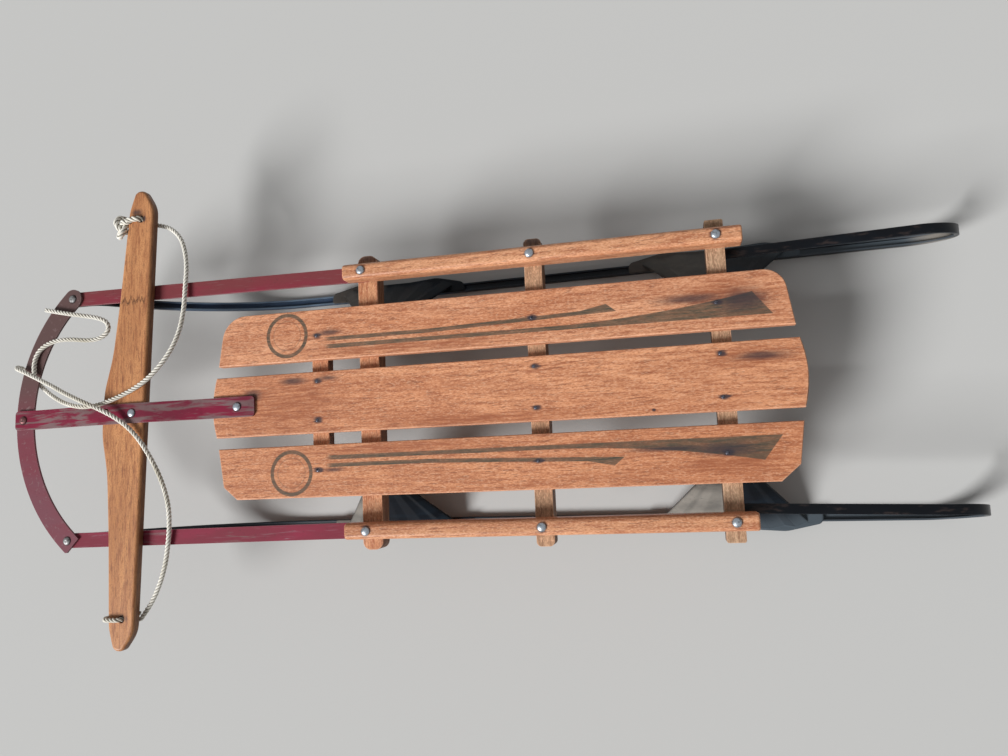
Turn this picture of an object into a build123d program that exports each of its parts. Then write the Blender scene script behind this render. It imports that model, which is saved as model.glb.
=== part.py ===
"""Runner sled with a steering bar: wood deck and rails on steel runners, millimetres.

+X is the front, +Y the sled's left, +Z up. The origin lies on the ground under the middle of the sled.
"""
import math
import os

from build123d import *

os.makedirs("parts", exist_ok=True)

SIDES = (("left", 1), ("right", -1))

# Deck boards
deck_middle_x = -59
deck_length = 740
deck_top = 145
board_thick = 11
middle_board_width = 80
side_board_width = 67
board_gap = 15
middle_board_bulge = 6
side_board_slant = 10
side_board_back = 3
side_board_front_round = 34
side_board_rear_round = 26
side_board_front_cut = 17
side_board_rear_cut = 19
board_ease = 1.5
deck_front = deck_middle_x + deck_length / 2
deck_rear = deck_middle_x - deck_length / 2
deck_under = deck_top - board_thick
side_board_inner = middle_board_width / 2 + board_gap
side_board_outer = side_board_inner + side_board_width

# Cross members under deck and rails
bunk_height = 24
bunk_length = 380
front_bunk_back = 214
rear_bunk_back = 85
bunk_under = deck_under - bunk_height
hinge_x = deck_front - front_bunk_back
rear_bunk_x = deck_rear + rear_bunk_back
BUNKS = (  # name, x, width, rounding of its ends
    ("front", hinge_x, 26, 10),
    ("middle", (hinge_x + rear_bunk_x) / 2, 22, 6),
    ("rear", rear_bunk_x, 22, 2.5),
)
cleat_back = 145
cleat_x = deck_front - cleat_back
cleat_width = 22
cleat_length = 220
cleat_height = 16
cleat_round = 4

# Side rails
rail_inset = 25
rail_y = bunk_length / 2 - rail_inset
rail_width = 20.5
rail_thick = 24
RAILS = (  # side, sign of y, overhang before the front bunk and behind the rear one
    ("left", 1, 29, 25),
    ("right", -1, 26, 30),
)
rail_round = 6
rail_end_round = 2.5
notch_behind = 4
rail_under = deck_under
rail_top = rail_under + rail_thick
rivet_shank = 6
rivet_head = 11
rivet_rise = 3.5
rivet_taper = 35
rivet_play = 0.15

# Runners
runner_out = 1
runner_y = rail_y + runner_out
runner_splay = 8
runner_width = 12
runner_base = 4
runner_lip = 2.5
runner_height = 9
curl_height = 110
curl_lean = 13.5
runner_tail = 288
runner_rear_x = rear_bunk_x - runner_tail
curl_radius = curl_height / 2
curl_x = runner_rear_x + curl_radius
curl_steps = 10
nose_radius = 330
nose_tip_radius = 30
nose_tongue = 20
nose_eye = 20
split_gap = 0.8
return_inboard = 8
return_thick = 3
return_reach = 16

# Struts between runners and bunks
strut_top_half = 13
strut_inboard = 70
strut_top_y = runner_y - strut_inboard
strut_plate = 2.8
strut_foot_bulge = 14
strut_top_bulge = 4
strut_flange = 2.5
strut_flare = 1.05
strut_levels = 3
strut_foot_reach = 19
strut_seat = 26
strut_head = 22
STRUTS = (  # name, its bunk, the foot's shift along the sled, half the plate's length there
    ("front", hinge_x, 4, 84),
    ("rear", rear_bunk_x, -4, 93),
)
STRUT_FLUTES = (  # share of the half width, share of the bulge
    (-1, 0.4),
    (-0.84, 0.86),
    (-0.7, 0.7),
    (-0.5, 1),
    (-0.2, 0.78),
    (0, 0.9),
    (0.2, 0.78),
    (0.5, 1),
    (0.7, 0.7),
    (0.84, 0.86),
    (1, 0.4),
)
STRUT_FOOT = (  # the foot's outer edge: share of the half width, share of the bulge
    (1.2, 0.56),
    (0.72, 1.25),
    (0.25, 1.05),
    (-0.25, 1.05),
    (-0.72, 1.25),
    (-1.2, 0.56),
)
strut_foot_rounds = (3, 3, 8, 40, 60, 60, 40, 8)

# Steel straps of the steering gear
slide_gap = 0.3
side_strap_width = 20
side_strap_thick = 3
side_bolt_x = 544
side_bolt_out = 5
side_bolt_y = rail_y + side_bolt_out
bumper_width = 28
bumper_thick = 3
bumper_bow = 74.5
bumper_square = 11
bumper_cut = 2
bumper_bolt_x = side_bolt_x + bumper_bow
deck_bolt_back = 32
deck_bolt_x = deck_front - deck_bolt_back
strap_width = 27
strap_thick = 3
strap_front_x = bumper_bolt_x + strap_width / 2
strap_tail = 25
strap_rear_x = deck_bolt_x - strap_tail
strap_corner = 5
strap_deck_gap = 19
strap_rise_x = deck_front + strap_deck_gap
strap_bumper_gap = 12.5
strap_drop_x = bumper_bolt_x - bumper_width / 2 - strap_bumper_gap
strap_lead = 4
bar_rear_x = 417.5
bar_bolt_in = 16.5
bar_bolt_x = bar_rear_x + bar_bolt_in
spare_hole_in = 55.5
spare_hole_x = bar_rear_x + spare_hole_in
spare_hole_y = -5
spare_hole = 7
bolt_shank = 6
bolt_head = 11
bolt_rise = 3
pin_play = 0.8

side_strap_under = rail_under + slide_gap
side_strap_top = side_strap_under + side_strap_thick
bumper_under = side_strap_top + slide_gap
bumper_top = bumper_under + bumper_thick

# Steering bar
bar_length = 628
bar_half = bar_length / 2
bar_thick = 14
bar_turn = 2.3
bar_shift = 1.5
bar_hole_margin = 41.5
bar_hole_out = bar_half - bar_hole_margin
bar_hole_in = 19
bar_hole = 9
bar_belly = 65
bar_flat = 30
bar_slope = 50
bar_arm = 154
bar_tip = 29
bar_edge = 4
bar_under = side_strap_top + slide_gap
bar_top = bar_under + bar_thick
BAR_WIDTHS = (  # distance from the middle, width there, rounding of the front edge
    (bar_flat, bar_belly, 120),
    (bar_flat + bar_slope, 54, 250),
    (bar_half - bar_arm, 47, 400),
    (bar_half - bar_tip, 39, 60),
)
BAR_TIP = (  # distance in from the end, distance from the rear edge, rounding
    (0, 30, 10),
    (0, 16, 10),
    (24, 0, 40),
)

# Rope
rope_diameter = 6.5
rope_gap = 0.7
knot_x = 459
knot_y = -262
knot_z = 143
knot_length = 28
knot_width = 17
knot_rise = 16
knot_round = 6
knot_lead = 28
knot_lead_side = 3
knot_drop = 12
knot_drop_lead = 34
knot_drop_side = 8
hitch_lead = 26
hitch_drop = 22
hitch_back = 20
hitch_side = 3
turn_round = 6
hole_round = 5


def finish(name, piece):
    """Label one sub-part and write its STEP file."""
    piece.part.label = name
    export_step(piece.part, f"parts/{name}.step")


def rivet(name, places, under, over, head, rise, shank):
    """Rivets or bolts: a shank from under to over, a tapered head on top, a flat one below."""
    with BuildPart() as pins:
        for x, y in places:
            with BuildSketch(Plane.XY.offset(under)):
                with Locations((x, y)):
                    Circle(shank / 2)
            extrude(amount=over - under)
            with BuildSketch(Plane.XY.offset(over)):
                with Locations((x, y)):
                    Circle(head / 2)
            extrude(amount=rise, taper=rivet_taper)
            with BuildSketch(Plane.XY.offset(under - rise / 2)):
                with Locations((x, y)):
                    Circle(shank * 0.8)
            extrude(amount=rise / 2)
    finish(name, pins)


# Middle deck board
with BuildPart() as deck_board_middle:
    with BuildSketch(Plane.XY.offset(deck_under)):
        half = middle_board_width / 2
        with BuildLine():
            Line((deck_front, half), (deck_rear, half))
            ThreePointArc((deck_rear, half), (deck_rear - middle_board_bulge, 0), (deck_rear, -half))
            Line((deck_rear, -half), (deck_front, -half))
            ThreePointArc((deck_front, -half), (deck_front + middle_board_bulge, 0), (deck_front, half))
        make_face()
    extrude(amount=board_thick)
    fillet(deck_board_middle.faces().sort_by(Axis.Z)[-1].edges(), board_ease)
    with Locations((deck_bolt_x, 0, deck_top)):
        Hole(bolt_shank / 2 + rivet_play)
finish("deck_board_middle", deck_board_middle)

# Side deck boards; the left one's outer corners are cut off straight, the right one's are rounded
for side, sign in SIDES:
    with BuildPart() as side_board:
        with BuildSketch(Plane.XY.offset(deck_under)):
            with BuildLine():
                Polyline(
                    (deck_front - side_board_back, sign * side_board_inner),
                    (deck_rear + side_board_back, sign * side_board_inner),
                    (deck_rear + side_board_back + side_board_slant, sign * side_board_outer),
                    (deck_front - side_board_back - side_board_slant, sign * side_board_outer),
                    close=True,
                )
            make_face()
            if sign > 0:
                chamfer(vertices().group_by(Axis.Y)[-1].sort_by(Axis.X)[0], side_board_rear_cut)
                chamfer(vertices().group_by(Axis.Y)[-1].sort_by(Axis.X)[-1], side_board_front_cut)
            else:
                fillet(vertices().group_by(Axis.Y)[0].sort_by(Axis.X)[0], side_board_rear_round)
                fillet(vertices().group_by(Axis.Y)[0].sort_by(Axis.X)[-1], side_board_front_round)
        extrude(amount=board_thick)
        fillet(side_board.faces().sort_by(Axis.Z)[-1].edges(), board_ease)
    finish(f"deck_board_{side}", side_board)

# Front cleat under the boards
with BuildPart() as deck_cleat:
    with BuildSketch(Plane.XY.offset(deck_under)):
        with Locations((cleat_x, 0)):
            RectangleRounded(cleat_width, cleat_length, cleat_round)
    extrude(amount=-cleat_height)
finish("deck_cleat", deck_cleat)

# Bunks
for bunk_name, bunk_x, bunk_width, end_round in BUNKS:
    with BuildPart() as bunk:
        with BuildSketch(Plane.XY.offset(bunk_under)):
            with Locations((bunk_x, 0)):
                RectangleRounded(bunk_width, bunk_length, end_round)
        extrude(amount=bunk_height)
        with Locations(*[(bunk_x, s * rail_y, deck_under) for _, s in SIDES]):
            Hole(rivet_shank / 2 + rivet_play)
    finish(f"bunk_{bunk_name}", bunk)

# Rails, cut away under the front end for the side strap
for side, sign, front_overhang, rear_overhang in RAILS:
    rail_front_x = hinge_x + front_overhang
    rail_rear_x = rear_bunk_x - rear_overhang
    with BuildPart() as rail:
        with BuildSketch(Plane.YZ.offset(rail_rear_x)):
            with Locations((sign * rail_y, rail_under)):
                Rectangle(rail_width, rail_thick, align=(Align.CENTER, Align.MIN))
            fillet(vertices().group_by(Axis.Y)[-1], rail_round)
        extrude(amount=rail_front_x - rail_rear_x)
        fillet(rail.faces().filter_by(GeomType.PLANE).group_by(Axis.X)[0].edges(), rail_end_round)
        fillet(rail.faces().filter_by(GeomType.PLANE).group_by(Axis.X)[-1].edges(), rail_end_round)
        notch_rear = hinge_x - side_strap_width / 2 - notch_behind
        with BuildSketch(Plane.XY.offset(rail_under)):
            with Locations(((rail_front_x + notch_rear) / 2, sign * rail_y)):
                Rectangle(rail_front_x - notch_rear, rail_width)
        extrude(amount=side_strap_thick + 2 * slide_gap, mode=Mode.SUBTRACT)
        with Locations(*[(x, sign * rail_y, rail_top) for _, x, _, _ in BUNKS]):
            Hole(rivet_shank / 2 + rivet_play)
    finish(f"rail_{side}", rail)
    rivet(
        f"rail_rivets_{side}",
        [(x, sign * rail_y) for _, x, _, _ in BUNKS],
        bunk_under,
        rail_top,
        rivet_head,
        rivet_rise,
        rivet_shank,
    )


def runner_section(plane):
    """Grooved runner section: a base with a lip along each edge, its underside on the path."""
    half = runner_width / 2
    groove = half - runner_lip
    with BuildSketch(plane) as section:
        with BuildLine():
            Polyline(
                (-half, 0),
                (half, 0),
                (half, runner_height),
                (groove, runner_height),
                (groove, runner_base),
                (-groove, runner_base),
                (-groove, runner_height),
                (-half, runner_height),
                close=True,
            )
        make_face()
    return section.sketch


def runner_line(x):
    """Distance of a runner's middle from the sled's, which grows from the split to the rear curl."""
    return runner_y + runner_splay * max(0, (hinge_x - x) / (hinge_x - curl_x))


# Fixed length of each runner: ground, leaning rear curl and the return strap to the rear bunk
for side, sign in SIDES:
    start_x = hinge_x - split_gap / 2
    start_y = sign * runner_line(start_x)
    foot_y = sign * runner_line(curl_x)
    head_y = foot_y - sign * curl_lean
    with BuildPart() as runner:
        start_plane = Plane(origin=(start_x, start_y, 0), x_dir=(0, -1, 0), z_dir=(-1, 0, 0))
        run = Vector(curl_x - start_x, foot_y - start_y, 0)
        extrude(runner_section(start_plane), amount=run.length, dir=run.normalized())
        curl_sections = []
        for step in range(curl_steps + 1):
            around = math.pi * step / curl_steps
            lift = (1 - math.cos(around)) / 2
            curl_y = foot_y + (head_y - foot_y) * lift
            place = (curl_x - curl_radius * math.sin(around), curl_y, curl_height * lift)
            along = (-math.cos(around), 0, math.sin(around))
            curl_sections.append(runner_section(Plane(origin=place, x_dir=(0, -1, 0), z_dir=along)))
        loft(curl_sections)
        with BuildSketch(Plane.XY.offset(curl_height)):
            half = runner_width / 2
            end_x = rear_bunk_x + return_reach
            end_y = head_y - sign * return_inboard
            with BuildLine():
                Polyline(
                    (curl_x, head_y - half),
                    (curl_x, head_y + half),
                    (end_x, end_y + half),
                    (end_x, end_y - half),
                    close=True,
                )
            make_face()
        extrude(amount=-return_thick)
    finish(f"runner_{side}", runner)

# Front length of each runner: a long arc off the ground to a flat eye under the side strap
tongue_under = side_strap_under - runner_base
nose_angle = math.acos(1 - tongue_under / (nose_radius + nose_tip_radius))
tongue_x = side_bolt_x - nose_tongue
nose_start_x = tongue_x - (nose_radius + nose_tip_radius) * math.sin(nose_angle)
lift_x = nose_start_x + nose_radius * math.sin(nose_angle)
lift_z = nose_radius * (1 - math.cos(nose_angle))
for side, sign in SIDES:
    y = sign * runner_y
    start_x = hinge_x + split_gap / 2
    with BuildPart() as nose:
        with BuildLine() as path:
            Line((start_x, y, 0), (nose_start_x, y, 0))
            ThreePointArc(
                (nose_start_x, y, 0),
                (
                    nose_start_x + nose_radius * math.sin(nose_angle / 2),
                    y,
                    nose_radius * (1 - math.cos(nose_angle / 2)),
                ),
                (lift_x, y, lift_z),
            )
        start_plane = Plane(origin=(start_x, y, 0), x_dir=(0, 1, 0), z_dir=(1, 0, 0))
        sweep(sections=runner_section(start_plane), path=path.line)
        with BuildLine() as tip_path:
            ThreePointArc(
                (lift_x, y, lift_z),
                (
                    tongue_x - nose_tip_radius * math.sin(nose_angle / 2),
                    y,
                    tongue_under - nose_tip_radius * (1 - math.cos(nose_angle / 2)),
                ),
                (tongue_x, y, tongue_under),
            )
            Line((tongue_x, y, tongue_under), (side_bolt_x, y, tongue_under))
        slope = (math.cos(nose_angle), 0, math.sin(nose_angle))
        with BuildSketch(Plane(origin=(lift_x, y, lift_z), x_dir=(0, 1, 0), z_dir=slope)) as flat:
            with Locations((0, runner_base / 2)):
                Rectangle(runner_width, runner_base)
        sweep(sections=flat.sketch, path=tip_path.line)
        with BuildSketch(Plane.XY.offset(tongue_under)):
            with Locations((side_bolt_x, sign * side_bolt_y)):
                Circle(nose_eye / 2)
        extrude(amount=runner_base)
        with Locations((side_bolt_x, sign * side_bolt_y, side_strap_under)):
            Hole(bolt_shank / 2 + pin_play, depth=2 * runner_base)
    finish(f"runner_nose_{side}", nose)

# Pressed steel struts: fluted plates that spread and bulge towards the runner, flanged at foot and head
strut_under = runner_height + slide_gap
for bunk_name, bunk_x, foot_shift, foot_half in STRUTS:
    for side, sign in SIDES:
        with BuildPart() as strut:
            low = strut_under + strut_flange
            high = bunk_under - strut_flange
            for level in range(strut_levels + 1):
                rise = level / strut_levels
                fall = 1 - rise
                middle = bunk_x + foot_shift * fall
                half = strut_top_half + (foot_half - strut_top_half) * fall**strut_flare
                bulge = strut_top_bulge + (strut_foot_bulge - strut_top_bulge) * fall
                outer = []
                for out, swell in STRUT_FLUTES:
                    x = middle + half * out
                    outer.append((x, runner_line(x) * fall + strut_top_y * rise + bulge * swell))
                inner = [(x, y - strut_plate) for x, y in reversed(outer)]
                with BuildSketch(Plane.XY.offset(low + (high - low) * rise)):
                    with BuildLine():
                        Polyline(*[(x, sign * y) for x, y in outer + inner], close=True)
                    make_face()
            loft(ruled=True)
            with BuildSketch(Plane.XY.offset(strut_under)):
                foot_reach = foot_half + strut_foot_reach
                foot = [(-foot_reach, -runner_width / 2), (foot_reach, -runner_width / 2)]
                foot += [(foot_half * out, strut_foot_bulge * swell) for out, swell in STRUT_FOOT]
                corners = [(bunk_x + foot_shift + x, y) for x, y in foot]
                with BuildLine():
                    FilletPolyline(
                        *[(x, sign * (runner_line(x) + y)) for x, y in corners],
                        radius=strut_foot_rounds,
                        close=True,
                    )
                make_face()
            extrude(amount=strut_flange)
            with BuildSketch(Plane.XY.offset(high)):
                with Locations((bunk_x, sign * strut_top_y)):
                    RectangleRounded(strut_head, strut_seat, strut_plate)
            extrude(amount=strut_flange)
        finish(f"strut_{bunk_name}_{side}", strut)

# Side straps, from the front rail rivets to the bumper
for side, sign in SIDES:
    run_x = side_bolt_x - hinge_x
    run_y = sign * (side_bolt_y - rail_y)
    with BuildPart() as side_strap:
        with BuildSketch(Plane.XY.offset(side_strap_under)):
            with Locations(((side_bolt_x + hinge_x) / 2, sign * (side_bolt_y + rail_y) / 2)):
                SlotCenterToCenter(
                    math.hypot(run_x, run_y),
                    side_strap_width,
                    rotation=math.degrees(math.atan2(run_y, run_x)),
                )
        extrude(amount=side_strap_thick)
        with Locations((hinge_x, sign * rail_y, side_strap_top)):
            Hole(rivet_shank / 2 + rivet_play)
        with Locations((side_bolt_x, sign * side_bolt_y, side_strap_top)):
            Hole(bolt_shank / 2 + pin_play)
    finish(f"side_strap_{side}", side_strap)

# Bumper, a flat bow through the three bolts, cut square at its left end
bow = bumper_bolt_x - side_bolt_x
bumper_middle_x = bumper_bolt_x - (side_bolt_y**2 + bow**2) / (2 * bow)
with BuildPart() as bumper:
    with BuildSketch(Plane.XY.offset(bumper_under)):
        arc = ThreePointArc(
            (side_bolt_x, -side_bolt_y),
            (bumper_bolt_x, 0),
            (side_bolt_x, side_bolt_y),
            mode=Mode.PRIVATE,
        )
        SlotArc(arc, bumper_width)
        end_angle = 90 + math.degrees(math.atan2(side_bolt_y, side_bolt_x - bumper_middle_x))
        square = Location((side_bolt_x, side_bolt_y), end_angle)
        with Locations(square):
            Rectangle(bumper_square, bumper_width, align=(Align.MIN, Align.CENTER))
        with Locations(square * Location((bumper_square, 0))):
            Rectangle(bumper_width, bumper_width, align=(Align.MIN, Align.CENTER), mode=Mode.SUBTRACT)
        chamfer(vertices().sort_by(Axis.Y)[-2:], bumper_cut)
    extrude(amount=bumper_thick)
    with Locations(*[(side_bolt_x, s * side_bolt_y, bumper_top) for _, s in SIDES]):
        Hole(bolt_shank / 2 + rivet_play)
    with Locations((bumper_bolt_x, 0, bumper_top)):
        Hole(bolt_shank / 2 + pin_play)
finish("bumper", bumper)
for side, sign in SIDES:
    rivet(
        f"bumper_bolt_{side}",
        [(side_bolt_x, sign * side_bolt_y)],
        tongue_under - slide_gap,
        bumper_top,
        bolt_head,
        bolt_rise,
        bolt_shank,
    )

# Steering bar, straight behind and bellied in front, turned a little on its bolt
turn = math.radians(bar_turn)
bar_axis = Plane(
    origin=(bar_rear_x, bar_shift, bar_under),
    x_dir=(math.cos(turn), -math.sin(turn), 0),
    z_dir=(0, 0, 1),
)
with BuildPart() as steering_bar:
    with BuildSketch(bar_axis):
        near = [(width, out, turn_radius) for out, width, turn_radius in BAR_WIDTHS]
        near += [(width, bar_half - out, turn_radius) for out, width, turn_radius in BAR_TIP]
        far = [(width, -out, turn_radius) for width, out, turn_radius in reversed(near)]
        outline = far + near
        with BuildLine():
            corners = [point[:2] for point in outline]
            FilletPolyline(*corners, radius=[point[2] for point in outline], close=True)
        make_face()
    extrude(amount=bar_thick)
    fillet(steering_bar.faces().sort_by(Axis.Z)[-1].outer_wire().edges(), bar_edge)
    fillet(steering_bar.faces().sort_by(Axis.Z)[0].outer_wire().edges(), bar_edge)
    with Locations(
        *[bar_axis.from_local_coords(Vector(bar_hole_in, s * bar_hole_out, bar_thick)) for _, s in SIDES]
    ):
        Hole(bar_hole / 2)
    with Locations((bar_bolt_x, 0, bar_top)):
        Hole(bolt_shank / 2 + rivet_play)
    with Locations((spare_hole_x, spare_hole_y, bar_top)):
        Hole(spare_hole / 2)
finish("steering_bar", steering_bar)

# Centre strap over deck, bar and bumper
strap_line = (
    (strap_rear_x, deck_top + slide_gap),
    (strap_rise_x, deck_top + slide_gap),
    (bar_rear_x - strap_lead, bar_top),
    (bar_rear_x + bar_belly + strap_lead, bar_top),
    (strap_drop_x, bumper_top + slide_gap),
    (strap_front_x, bumper_top + slide_gap),
)
with BuildPart() as centre_strap:
    with BuildSketch(Plane.XZ):
        with BuildLine():
            Polyline(
                *strap_line,
                *[(x, z + strap_thick) for x, z in reversed(strap_line)],
                close=True,
            )
        make_face()
    extrude(amount=strap_width / 2, both=True)
    ends = centre_strap.edges().filter_by(Axis.Z).group_by(Axis.X)
    fillet(ends[0] + ends[-1], strap_corner)
    with Locations((deck_bolt_x, 0, bar_top), (bumper_bolt_x, 0, bar_top)):
        Hole(bolt_shank / 2 + pin_play / 2)
    with Locations((bar_bolt_x, 0, bar_top + strap_thick)):
        Hole(bolt_shank / 2 + rivet_play)
    with Locations((spare_hole_x, spare_hole_y, bar_top + strap_thick)):
        Hole(spare_hole / 2)
finish("centre_strap", centre_strap)

rivet(
    "deck_bolt",
    [(deck_bolt_x, 0)],
    deck_under,
    deck_top + 2 * slide_gap + strap_thick,
    bolt_head,
    bolt_rise,
    bolt_shank,
)
rivet("bar_bolt", [(bar_bolt_x, 0)], bar_under, bar_top + strap_thick, bolt_head, bolt_rise, bolt_shank)
rivet(
    "bow_bolt",
    [(bumper_bolt_x, 0)],
    bumper_under - slide_gap,
    bumper_top + slide_gap + strap_thick,
    bolt_head,
    bolt_rise,
    bolt_shank,
)


def corner_radii(points):
    """Radius at each corner: 0.45 of the shorter run over the tangent of half the turn."""
    radii = []
    for a, b, c in zip(points, points[1:], points[2:]):
        into, out = Vector(*b) - Vector(*a), Vector(*c) - Vector(*b)
        half_turn = math.radians(into.get_angle(out) / 2)
        radii.append(0.45 * min(into.length, out.length) / math.tan(half_turn))
    return radii


def rope_tube(points):
    """A rope's tube along straight runs joined by tangent arcs."""
    radii = corner_radii(points)
    with BuildPart() as tube:
        with BuildLine() as path:
            FilletPolyline(*points, radius=radii)
        start = Plane(origin=points[0], z_dir=Vector(*points[1]) - Vector(*points[0]))
        with BuildSketch(start):
            Circle(rope_diameter / 2)
        sweep(path=path.line)
    length = path.wire().length
    section = math.pi * rope_diameter**2 / 4
    share = tube.part.volume / (section * length)
    print("rope length", round(length), "volume over section times length", share)
    print("radii", [round(r) for r in radii])
    return tube


# Tow rope: from the right hole of the bar, round the bumper and back to the left hole
rope_route = (
    (452, -268, 135.5),
    (431, -271, 131.5),
    (410, -267, 132),
    (390, -260, 134),
    (373, -244, 136),
    (364, -222, 138.5),
    (360, -198, 141),
    (361, -172, 142.5),
    (362, -139, 144),
    (365, -111, 148),
    (373, -86, 152.5),
    (387, -64, 156),
    (407, -45, 156.8),
    (431, -31, 157.3),
    (458, -20, 158.8),
    (484, -13, 158.8),
    (512, -12, 156.8),
    (543, -19, 150),
    (576, -32, 137),
    (600, -47, 130.5),
    (615, -60, 128),
    (631, -75, 128),
    (637, -79, 137),
    (631, -75, 146),
    (616, -69, 147),
    (597, -60, 147.5),
    (568, -47, 151),
    (538, -33, 158),
    (505, -20, 166.5),
    (472, -6, 166.5),
    (449, 8, 160.5),
    (430, 25, 156.8),
    (414, 44, 156.2),
    (399, 67, 155.5),
    (388, 95, 150.5),
    (382, 125, 145.5),
    (382, 154, 143),
    (385, 180, 142),
    (390, 202, 139.5),
    (400, 228, 136),
    (415, 256, 133.5),
    (433, 277, 132.5),
)
rope_tail_route = (
    (600, -62, 146),
    (603, -76, 144.4),
    (600, -91, 144.3),
    (590, -103, 144.3),
    (570, -111, 144.6),
    (544, -112, 144),
    (518, -108, 142),
    (498, -109, 140.8),
    (484, -118, 140.5),
    (484, -131, 140.8),
    (498, -139, 142),
    (524, -144, 144.4),
    (555, -150, 145),
    (585, -157, 144.5),
)
rope = rope_tube(rope_route)
finish("tow_rope", rope)
rope_tail = rope_tube(rope_tail_route)
finish("rope_tail", rope_tail)

# Right knot, a lump of turns in front of the bar, with its strand over the bar into the hole
hole_right = bar_axis.from_local_coords(Vector(bar_hole_in, -bar_hole_out, 0))
hole_left = bar_axis.from_local_coords(Vector(bar_hole_in, bar_hole_out, 0))
over_bar = bar_top + rope_diameter / 2 + rope_gap
with BuildPart() as knot_right:
    with BuildLine() as path:
        FilletPolyline(
            (hole_right.X, hole_right.Y, bar_under),
            (hole_right.X, hole_right.Y, over_bar),
            (hole_right.X + knot_lead, hole_right.Y + knot_lead_side, over_bar),
            (hole_right.X + knot_drop_lead, hole_right.Y + knot_drop_side, over_bar - knot_drop),
            radius=[hole_round, turn_round],
        )
    with BuildSketch(Plane(origin=path.wire() @ 0, z_dir=(0, 0, 1))):
        Circle(rope_diameter / 2)
    sweep(path=path.line)
    with BuildSketch(Plane.XY.offset(knot_z - knot_rise / 2)):
        with Locations((knot_x, knot_y)):
            SlotOverall(knot_length, knot_width, rotation=90)
    extrude(amount=knot_rise)
    fillet(knot_right.edges().group_by(Axis.Z)[0], knot_round)
finish("knot_right", knot_right)

# Left loop round the front half of the bar, tied under its rear edge
with BuildPart() as knot_left:
    with BuildLine() as path:
        FilletPolyline(
            (hole_left.X, hole_left.Y, bar_under),
            (hole_left.X, hole_left.Y, over_bar),
            (hole_left.X + hitch_lead, hole_left.Y, over_bar),
            (hole_left.X + hitch_lead, hole_left.Y, over_bar - hitch_drop),
            (hole_left.X - hitch_back, hole_left.Y - hitch_side, over_bar - hitch_drop),
            radius=[hole_round, turn_round, turn_round],
        )
    with BuildSketch(Plane(origin=path.wire() @ 0, z_dir=(0, 0, 1))):
        Circle(rope_diameter / 2)
    sweep(path=path.line)
finish("knot_left", knot_left)
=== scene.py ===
"""Looks of a runner sled: oiled boards, worn red steering gear, blue-black runners and a laid cotton rope.

Lengths are metres in the part's own frame: +X is the front, +Y the sled's left, +Z up. Colours are linear.
"""
import logging
import math
from dataclasses import dataclass, field, replace
from enum import Enum
from itertools import pairwise

import bmesh
import bpy
from mathutils import Matrix, Vector
from mathutils.kdtree import KDTree


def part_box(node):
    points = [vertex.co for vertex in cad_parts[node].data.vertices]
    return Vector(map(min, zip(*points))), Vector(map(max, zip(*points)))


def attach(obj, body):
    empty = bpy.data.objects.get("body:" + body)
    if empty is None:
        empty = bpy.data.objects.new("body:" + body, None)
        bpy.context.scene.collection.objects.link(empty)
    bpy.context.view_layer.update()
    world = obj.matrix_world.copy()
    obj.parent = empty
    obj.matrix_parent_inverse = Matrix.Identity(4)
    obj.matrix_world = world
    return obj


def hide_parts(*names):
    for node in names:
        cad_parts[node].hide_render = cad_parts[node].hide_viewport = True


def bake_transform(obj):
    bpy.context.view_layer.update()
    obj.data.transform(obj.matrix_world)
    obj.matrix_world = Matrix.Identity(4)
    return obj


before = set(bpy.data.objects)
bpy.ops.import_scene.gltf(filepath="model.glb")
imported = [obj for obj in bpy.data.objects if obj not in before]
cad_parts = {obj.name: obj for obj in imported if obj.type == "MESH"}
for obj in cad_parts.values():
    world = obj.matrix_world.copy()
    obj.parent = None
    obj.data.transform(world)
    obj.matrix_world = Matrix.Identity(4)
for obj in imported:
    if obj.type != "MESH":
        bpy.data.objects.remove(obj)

log = logging.getLogger("sled")
MM = 0.001
SIDES = (("left", 1), ("right", -1))
BUNKS = ("bunk_front", "bunk_middle", "bunk_rear")
Point = tuple[float, float, float]
Colour = tuple[float, float, float]
Oval = tuple[float, float, float, float]
Piece = bpy.types.Object
Material = bpy.types.Material
Outputs = bpy.types.bpy_prop_collection
Socket = bpy.types.NodeSocket
Source = Socket | float | Point
ORIGIN: Point = (0.0, 0.0, 0.0)


class Grain(Enum):
    """The axis that a wooden piece's grain runs along."""

    LENGTHWISE = "X"
    CROSSWISE = "Y"


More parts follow.
